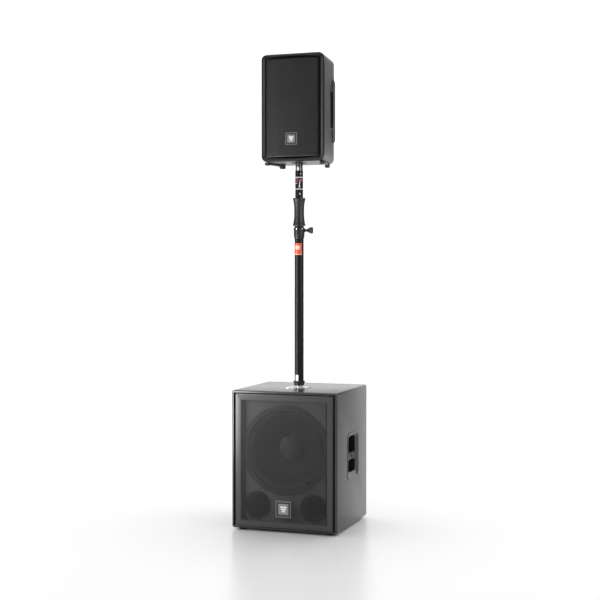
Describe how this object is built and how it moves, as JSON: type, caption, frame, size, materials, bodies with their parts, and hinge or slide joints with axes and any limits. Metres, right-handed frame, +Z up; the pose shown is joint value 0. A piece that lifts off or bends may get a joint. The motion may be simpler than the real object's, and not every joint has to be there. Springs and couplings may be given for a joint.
{
  "type": "pa speaker",
  "caption": "Two-way moulded loudspeaker on a telescopic pole that screws into a powered wooden subwoofer.",
  "frame": {"origin": "middle of the subwoofer's footprint, on the floor", "axes": "+Z up along the pole, the grilles face -Y, +X is the right side seen from the front"},
  "size_m": [0.482, 0.464, 2.0645],
  "materials": {
    "cabinet_paint": "plywood with black textured paint",
    "baffle_paint": "plywood with matt black paint",
    "grille_steel": "powder-coated perforated steel",
    "shell_plastic": "fine-grained moulded plastic",
    "black_plastic": "moulded plastic",
    "badge_metal": "brushed light metal rim with a dark field",
    "rubber_black": "rubber",
    "driver_paint": "black-coated steel",
    "magnet": "ferrite and zinc-plated steel",
    "paper_cone": "coated paper pulp",
    "woven_fabric": "resin-treated cloth",
    "surround_foam": "pleated treated cloth",
    "amp_metal": "black anodised aluminium",
    "board": "circuit board",
    "tube_steel": "gloss black coated steel tube",
    "bare_metal": "plated steel",
    "spigot_metal": "grey turned aluminium",
    "label_orange": "orange printed film",
    "bush_plastic": "acetal",
    "button_grey": "light grey key"
  },
  "bodies": {
    "subwoofer": {"sub_side_left": "cabinet_paint", "sub_side_right": "cabinet_paint", "sub_top_panel": "cabinet_paint", "sub_bottom_panel": "cabinet_paint", "sub_back_panel": "cabinet_paint", "sub_baffle": "baffle_paint", "sub_grille": "grille_steel", "sub_badge": "badge_metal", "sub_handle_left": "black_plastic", "sub_handle_right": "black_plastic", "sub_pole_socket": "bare_metal", "sub_feet": "rubber_black", "sub_driver_frame": "driver_paint", "sub_driver_magnet": "magnet", "sub_surround": "surround_foam", "sub_spider": "woven_fabric", "sub_ports": "black_plastic", "sub_amp_plate": "amp_metal", "sub_amp_module": "board", "sub_jacks": "black_plastic", "sub_mains_inlet": "black_plastic", "sub_screws": "bare_metal", "pole_thread_stud": "bare_metal", "pole_lock_ring": "black_plastic", "pole_lower_tube": "tube_steel", "pole_clamp_collar": "black_plastic", "pole_hand_grip": "rubber_black", "pole_label": "label_orange", "pole_gas_cylinder": "tube_steel"},
    "sub_cone_assembly": {"sub_cone": "paper_cone", "sub_dust_cap": "paper_cone"},
    "sub_level_control": {"sub_level_knob": "black_plastic"},
    "sub_polarity_key": {"sub_polarity_button": "button_grey"},
    "sub_power_rocker": {"sub_power_switch": "black_plastic"},
    "wing_knob": {"pole_wing_knob": "black_plastic"},
    "pole_upper_section": {"pole_upper_tube": "tube_steel", "pole_guide_bush": "bush_plastic", "pole_gas_rod": "bare_metal", "pole_spigot": "spigot_metal"},
    "top_speaker": {"top_front_shell": "shell_plastic", "top_rear_shell": "shell_plastic", "top_grille": "grille_steel", "top_badge": "badge_metal", "top_handles": "shell_plastic", "top_pole_cup": "black_plastic", "top_foot_rails": "rubber_black", "top_driver_frame": "driver_paint", "top_driver_magnet": "magnet", "top_surround": "surround_foam", "top_horn": "black_plastic", "top_compression_driver": "driver_paint", "top_amp_plate": "amp_metal", "top_amp_module": "board", "top_jacks": "black_plastic", "top_mains_inlet": "black_plastic"},
    "top_cone_assembly": {"top_cone": "paper_cone"},
    "top_level_control_1": {"top_level_knob_1": "black_plastic"},
    "top_level_control_2": {"top_level_knob_2": "black_plastic"},
    "top_mode_key": {"top_mode_button": "button_grey"},
    "top_power_rocker": {"top_power_switch": "black_plastic"}
  },
  "joints": [
    {"name": "pole_extension", "type": "slide", "parent": "subwoofer", "child": "pole_upper_section", "axis": [0, 0, 1], "range_m": [-0.09, 0.36]},
    {"name": "speaker_swivel", "type": "hinge", "parent": "pole_upper_section", "child": "top_speaker", "pos_m": [0, -0.024, 1.65], "axis": [0, 0, 1], "continuous": true},
    {"name": "wing_knob_turn", "type": "hinge", "parent": "subwoofer", "child": "wing_knob", "pos_m": [0.04, -0.024, 1.301], "axis": [1, 0, 0], "range_deg": [-180, 180]},
    {"name": "sub_cone_travel", "type": "slide", "parent": "subwoofer", "child": "sub_cone_assembly", "axis": [0, 1, 0], "range_m": [-0.006, 0.006], "stiffness_N_per_m": 3000},
    {"name": "top_cone_travel", "type": "slide", "parent": "top_speaker", "child": "top_cone_assembly", "axis": [0, 1, 0], "range_m": [-0.003, 0.003], "stiffness_N_per_m": 2000},
    {"name": "sub_level_turn", "type": "hinge", "parent": "subwoofer", "child": "sub_level_control", "pos_m": [-0.11, 0.2145, 0.298], "axis": [0, 1, 0], "range_deg": [-135, 135]},
    {"name": "sub_polarity_press", "type": "slide", "parent": "subwoofer", "child": "sub_polarity_key", "axis": [0, -1, 0], "range_m": [0, 0.0015], "stiffness_N_per_m": 400, "springref_m": -0.0005},
    {"name": "sub_power_rock", "type": "hinge", "parent": "subwoofer", "child": "sub_power_rocker", "pos_m": [0.058, 0.2145, 0.228], "axis": [1, 0, 0], "range_deg": [0, 16]},
    {"name": "top_level_turn_1", "type": "hinge", "parent": "top_speaker", "child": "top_level_control_1", "pos_m": [-0.05, 0.101, 1.86], "axis": [0, 1, 0], "range_deg": [-135, 135]},
    {"name": "top_level_turn_2", "type": "hinge", "parent": "top_speaker", "child": "top_level_control_2", "pos_m": [0, 0.101, 1.86], "axis": [0, 1, 0], "range_deg": [-135, 135]},
    {"name": "top_mode_press", "type": "slide", "parent": "top_speaker", "child": "top_mode_key", "axis": [0, -1, 0], "range_m": [0, 0.0015], "stiffness_N_per_m": 400, "springref_m": -0.0005},
    {"name": "top_power_rock", "type": "hinge", "parent": "top_speaker", "child": "top_power_rocker", "pos_m": [-0.046, 0.101, 1.738], "axis": [1, 0, 0], "range_deg": [0, 16]}
  ]
}
